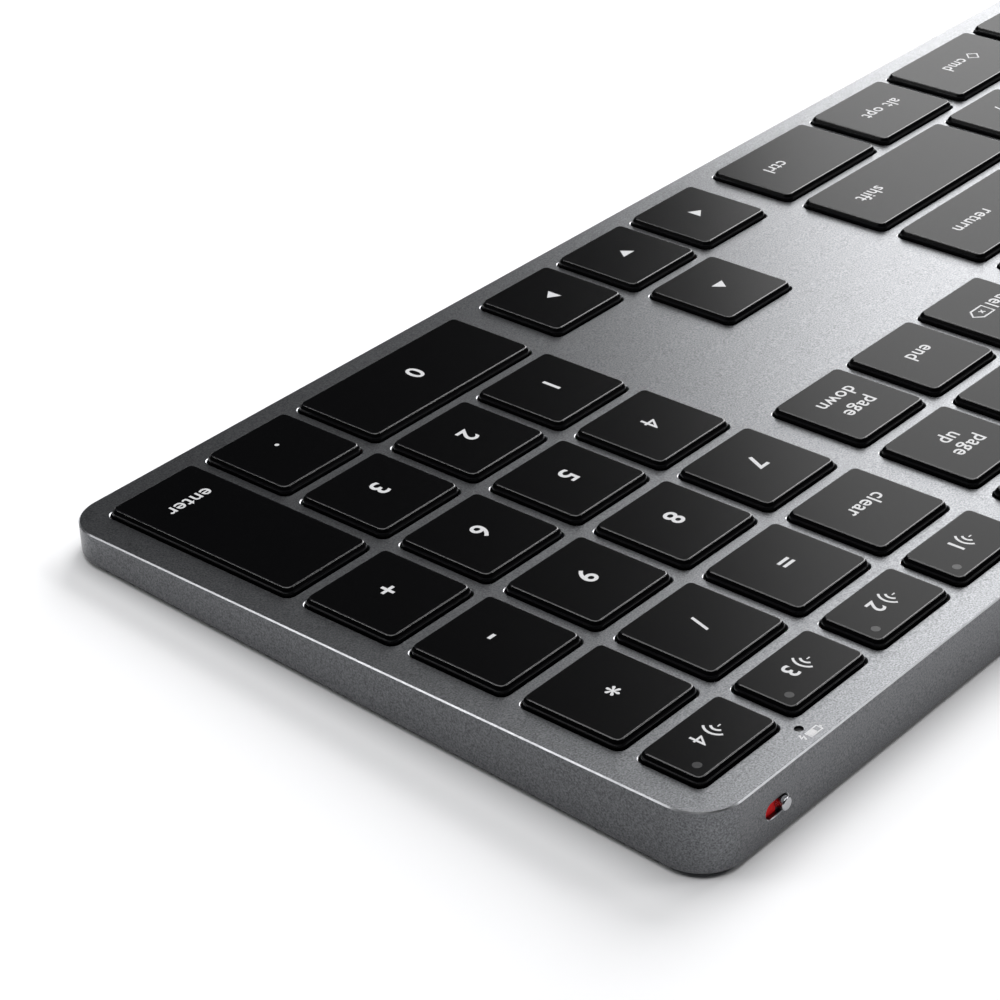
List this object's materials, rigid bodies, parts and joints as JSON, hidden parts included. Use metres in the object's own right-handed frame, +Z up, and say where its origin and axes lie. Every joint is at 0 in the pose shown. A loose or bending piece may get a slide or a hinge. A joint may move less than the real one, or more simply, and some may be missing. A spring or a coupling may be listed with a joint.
{
  "type": "full-size wireless keyboard with numeric keypad",
  "caption": "Slim wedge-shaped space-grey aluminium keyboard with black low keys and a full numeric keypad at its right end.",
  "frame": {"origin": "middle of the footprint, on the desk that the feet stand on", "axes": "+Z up, +X to the typist's right, +Y away from the typist, towards the back wall with the switch and the socket"},
  "size_m": [0.4246, 0.116, 0.0111],
  "materials": {
    "space_grey_aluminium": "fine bead-blasted and anodised, matt, polished edge",
    "black_keycap_plastic": "satin with a very fine texture",
    "dark_plastic": "matt moulded",
    "grey_rubber": "matt",
    "dome_silicone": "translucent satin",
    "membrane_film": "clear film",
    "steel": "satin",
    "circuit_board": "satin solder mask",
    "battery_foil": "satin foil",
    "clear_plastic": "clear, polished"
  },
  "bodies": {
    "case": {"top_case": "space_grey_aluminium", "bottom_cover": "dark_plastic", "cover_adhesive": "membrane_film", "support_plate": "steel", "switch_membrane": "membrane_film", "dome_sheet": "dome_silicone", "main_board": "circuit_board", "battery": "battery_foil", "usb_c_socket": "steel", "power_switch_body": "dark_plastic", "charge_light": "clear_plastic", "front_left_foot": "grey_rubber", "front_right_foot": "grey_rubber", "back_left_foot": "grey_rubber", "back_right_foot": "grey_rubber"},
    "power_switch": {"power_switch_slider": "steel"},
    "numpad_clear_body": {"numpad_clear_key": "black_keycap_plastic"},
    "numpad_equals_body": {"numpad_equals_key": "black_keycap_plastic"},
    "numpad_divide_body": {"numpad_divide_key": "black_keycap_plastic"},
    "numpad_multiply_body": {"numpad_multiply_key": "black_keycap_plastic"},
    "numpad_7_body": {"numpad_7_key": "black_keycap_plastic"},
    "numpad_8_body": {"numpad_8_key": "black_keycap_plastic"},
    "numpad_9_body": {"numpad_9_key": "black_keycap_plastic"},
    "numpad_minus_body": {"numpad_minus_key": "black_keycap_plastic"},
    "numpad_4_body": {"numpad_4_key": "black_keycap_plastic"},
    "numpad_5_body": {"numpad_5_key": "black_keycap_plastic"},
    "numpad_6_body": {"numpad_6_key": "black_keycap_plastic"},
    "numpad_plus_body": {"numpad_plus_key": "black_keycap_plastic"},
    "numpad_1_body": {"numpad_1_key": "black_keycap_plastic"},
    "numpad_2_body": {"numpad_2_key": "black_keycap_plastic"},
    "numpad_3_body": {"numpad_3_key": "black_keycap_plastic"},
    "numpad_enter_body": {"numpad_enter_key": "black_keycap_plastic"},
    "numpad_0_body": {"numpad_0_key": "black_keycap_plastic"},
    "numpad_point_body": {"numpad_point_key": "black_keycap_plastic"},
    "channel_1_body": {"channel_1_key": "black_keycap_plastic"},
    "channel_2_body": {"channel_2_key": "black_keycap_plastic"},
    "channel_3_body": {"channel_3_key": "black_keycap_plastic"},
    "channel_4_body": {"channel_4_key": "black_keycap_plastic"},
    "function_body": {"function_key": "black_keycap_plastic"},
    "home_body": {"home_key": "black_keycap_plastic"},
    "page_up_body": {"page_up_key": "black_keycap_plastic"},
    "forward_delete_body": {"forward_delete_key": "black_keycap_plastic"},
    "end_body": {"end_key": "black_keycap_plastic"},
    "page_down_body": {"page_down_key": "black_keycap_plastic"},
    "arrow_up_body": {"arrow_up_key": "black_keycap_plastic"},
    "arrow_left_body": {"arrow_left_key": "black_keycap_plastic"},
    "arrow_down_body": {"arrow_down_key": "black_keycap_plastic"},
    "arrow_right_body": {"arrow_right_key": "black_keycap_plastic"},
    "space_body": {"space_key": "black_keycap_plastic"},
    "command_right_body": {"command_right_key": "black_keycap_plastic"},
    "option_right_body": {"option_right_key": "black_keycap_plastic"},
    "control_right_body": {"control_right_key": "black_keycap_plastic"},
    "shift_right_body": {"shift_right_key": "black_keycap_plastic"},
    "return_body": {"return_key": "black_keycap_plastic"},
    "function_row_body": {"function_row_keys": "black_keycap_plastic"},
    "number_row_body": {"number_row_keys": "black_keycap_plastic"},
    "tab_row_body": {"tab_row_keys": "black_keycap_plastic"},
    "caps_row_body": {"caps_row_keys": "black_keycap_plastic"},
    "shift_row_body": {"shift_row_keys": "black_keycap_plastic"},
    "bottom_row_body": {"bottom_row_keys": "black_keycap_plastic"}
  },
  "joints": [
    {"name": "power_switch_slide", "type": "slide", "parent": "case", "child": "power_switch", "axis": [1, 0, 0], "range_m": [0, 0.0024]},
    {"name": "numpad_clear_key_press", "type": "slide", "parent": "case", "child": "numpad_clear_body", "axis": [0, 0.0422, -0.9991], "range_m": [0, 0.001], "stiffness_N_per_m": 400},
    {"name": "numpad_equals_key_press", "type": "slide", "parent": "case", "child": "numpad_equals_body", "axis": [0, 0.0422, -0.9991], "range_m": [0, 0.001], "stiffness_N_per_m": 400},
    {"name": "numpad_divide_key_press", "type": "slide", "parent": "case", "child": "numpad_divide_body", "axis": [0, 0.0422, -0.9991], "range_m": [0, 0.001], "stiffness_N_per_m": 400},
    {"name": "numpad_multiply_key_press", "type": "slide", "parent": "case", "child": "numpad_multiply_body", "axis": [0, 0.0422, -0.9991], "range_m": [0, 0.001], "stiffness_N_per_m": 400},
    {"name": "numpad_7_key_press", "type": "slide", "parent": "case", "child": "numpad_7_body", "axis": [0, 0.0422, -0.9991], "range_m": [0, 0.001], "stiffness_N_per_m": 400},
    {"name": "numpad_8_key_press", "type": "slide", "parent": "case", "child": "numpad_8_body", "axis": [0, 0.0422, -0.9991], "range_m": [0, 0.001], "stiffness_N_per_m": 400},
    {"name": "numpad_9_key_press", "type": "slide", "parent": "case", "child": "numpad_9_body", "axis": [0, 0.0422, -0.9991], "range_m": [0, 0.001], "stiffness_N_per_m": 400},
    {"name": "numpad_minus_key_press", "type": "slide", "parent": "case", "child": "numpad_minus_body", "axis": [0, 0.0422, -0.9991], "range_m": [0, 0.001], "stiffness_N_per_m": 400},
    {"name": "numpad_4_key_press", "type": "slide", "parent": "case", "child": "numpad_4_body", "axis": [0, 0.0422, -0.9991], "range_m": [0, 0.001], "stiffness_N_per_m": 400},
    {"name": "numpad_5_key_press", "type": "slide", "parent": "case", "child": "numpad_5_body", "axis": [0, 0.0422, -0.9991], "range_m": [0, 0.001], "stiffness_N_per_m": 400},
    {"name": "numpad_6_key_press", "type": "slide", "parent": "case", "child": "numpad_6_body", "axis": [0, 0.0422, -0.9991], "range_m": [0, 0.001], "stiffness_N_per_m": 400},
    {"name": "numpad_plus_key_press", "type": "slide", "parent": "case", "child": "numpad_plus_body", "axis": [0, 0.0422, -0.9991], "range_m": [0, 0.001], "stiffness_N_per_m": 400},
    {"name": "numpad_1_key_press", "type": "slide", "parent": "case", "child": "numpad_1_body", "axis": [0, 0.0422, -0.9991], "range_m": [0, 0.001], "stiffness_N_per_m": 400},
    {"name": "numpad_2_key_press", "type": "slide", "parent": "case", "child": "numpad_2_body", "axis": [0, 0.0422, -0.9991], "range_m": [0, 0.001], "stiffness_N_per_m": 400},
    {"name": "numpad_3_key_press", "type": "slide", "parent": "case", "child": "numpad_3_body", "axis": [0, 0.0422, -0.9991], "range_m": [0, 0.001], "stiffness_N_per_m": 400},
    {"name": "numpad_enter_key_press", "type": "slide", "parent": "case", "child": "numpad_enter_body", "axis": [0, 0.0422, -0.9991], "range_m": [0, 0.001], "stiffness_N_per_m": 400},
    {"name": "numpad_0_key_press", "type": "slide", "parent": "case", "child": "numpad_0_body", "axis": [0, 0.0422, -0.9991], "range_m": [0, 0.001], "stiffness_N_per_m": 400},
    {"name": "numpad_point_key_press", "type": "slide", "parent": "case", "child": "numpad_point_body", "axis": [0, 0.0422, -0.9991], "range_m": [0, 0.001], "stiffness_N_per_m": 400},
    {"name": "channel_1_key_press", "type": "slide", "parent": "case", "child": "channel_1_body", "axis": [0, 0.0422, -0.9991], "range_m": [0, 0.001], "stiffness_N_per_m": 400},
    {"name": "channel_2_key_press", "type": "slide", "parent": "case", "child": "channel_2_body", "axis": [0, 0.0422, -0.9991], "range_m": [0, 0.001], "stiffness_N_per_m": 400},
    {"name": "channel_3_key_press", "type": "slide", "parent": "case", "child": "channel_3_body", "axis": [0, 0.0422, -0.9991], "range_m": [0, 0.001], "stiffness_N_per_m": 400},
    {"name": "channel_4_key_press", "type": "slide", "parent": "case", "child": "channel_4_body", "axis": [0, 0.0422, -0.9991], "range_m": [0, 0.001], "stiffness_N_per_m": 400},
    {"name": "function_key_press", "type": "slide", "parent": "case", "child": "function_body", "axis": [0, 0.0422, -0.9991], "range_m": [0, 0.001], "stiffness_N_per_m": 400},
    {"name": "home_key_press", "type": "slide", "parent": "case", "child": "home_body", "axis": [0, 0.0422, -0.9991], "range_m": [0, 0.001], "stiffness_N_per_m": 400},
    {"name": "page_up_key_press", "type": "slide", "parent": "case", "child": "page_up_body", "axis": [0, 0.0422, -0.9991], "range_m": [0, 0.001], "stiffness_N_per_m": 400},
    {"name": "forward_delete_key_press", "type": "slide", "parent": "case", "child": "forward_delete_body", "axis": [0, 0.0422, -0.9991], "range_m": [0, 0.001], "stiffness_N_per_m": 400},
    {"name": "end_key_press", "type": "slide", "parent": "case", "child": "end_body", "axis": [0, 0.0422, -0.9991], "range_m": [0, 0.001], "stiffness_N_per_m": 400},
    {"name": "page_down_key_press", "type": "slide", "parent": "case", "child": "page_down_body", "axis": [0, 0.0422, -0.9991], "range_m": [0, 0.001], "stiffness_N_per_m": 400},
    {"name": "arrow_up_key_press", "type": "slide", "parent": "case", "child": "arrow_up_body", "axis": [0, 0.0422, -0.9991], "range_m": [0, 0.001], "stiffness_N_per_m": 400},
    {"name": "arrow_left_key_press", "type": "slide", "parent": "case", "child": "arrow_left_body", "axis": [0, 0.0422, -0.9991], "range_m": [0, 0.001], "stiffness_N_per_m": 400},
    {"name": "arrow_down_key_press", "type": "slide", "parent": "case", "child": "arrow_down_body", "axis": [0, 0.0422, -0.9991], "range_m": [0, 0.001], "stiffness_N_per_m": 400},
    {"name": "arrow_right_key_press", "type": "slide", "parent": "case", "child": "arrow_right_body", "axis": [0, 0.0422, -0.9991], "range_m": [0, 0.001], "stiffness_N_per_m": 400},
    {"name": "space_key_press", "type": "slide", "parent": "case", "child": "space_body", "axis": [0, 0.0422, -0.9991], "range_m": [0, 0.001], "stiffness_N_per_m": 400},
    {"name": "command_right_key_press", "type": "slide", "parent": "case", "child": "command_right_body", "axis": [0, 0.0422, -0.9991], "range_m": [0, 0.001], "stiffness_N_per_m": 400},
    {"name": "option_right_key_press", "type": "slide", "parent": "case", "child": "option_right_body", "axis": [0, 0.0422, -0.9991], "range_m": [0, 0.001], "stiffness_N_per_m": 400},
    {"name": "control_right_key_press", "type": "slide", "parent": "case", "child": "control_right_body", "axis": [0, 0.0422, -0.9991], "range_m": [0, 0.001], "stiffness_N_per_m": 400},
    {"name": "shift_right_key_press", "type": "slide", "parent": "case", "child": "shift_right_body", "axis": [0, 0.0422, -0.9991], "range_m": [0, 0.001], "stiffness_N_per_m": 400},
    {"name": "return_key_press", "type": "slide", "parent": "case", "child": "return_body", "axis": [0, 0.0422, -0.9991], "range_m": [0, 0.001], "stiffness_N_per_m": 400},
    {"name": "function_row_keys_press", "type": "slide", "parent": "case", "child": "function_row_body", "axis": [0, 0.0422, -0.9991], "range_m": [0, 0.001], "stiffness_N_per_m": 6800},
    {"name": "number_row_keys_press", "type": "slide", "parent": "case", "child": "number_row_body", "axis": [0, 0.0422, -0.9991], "range_m": [0, 0.001], "stiffness_N_per_m": 5600},
    {"name": "tab_row_keys_press", "type": "slide", "parent": "case", "child": "tab_row_body", "axis": [0, 0.0422, -0.9991], "range_m": [0, 0.001], "stiffness_N_per_m": 5600},
    {"name": "caps_row_keys_press", "type": "slide", "parent": "case", "child": "caps_row_body", "axis": [0, 0.0422, -0.9991], "range_m": [0, 0.001], "stiffness_N_per_m": 4800},
    {"name": "shift_row_keys_press", "type": "slide", "parent": "case", "child": "shift_row_body", "axis": [0, 0.0422, -0.9991], "range_m": [0, 0.001], "stiffness_N_per_m": 4400},
    {"name": "bottom_row_keys_press", "type": "slide", "parent": "case", "child": "bottom_row_body", "axis": [0, 0.0422, -0.9991], "range_m": [0, 0.001], "stiffness_N_per_m": 1200}
  ]
}
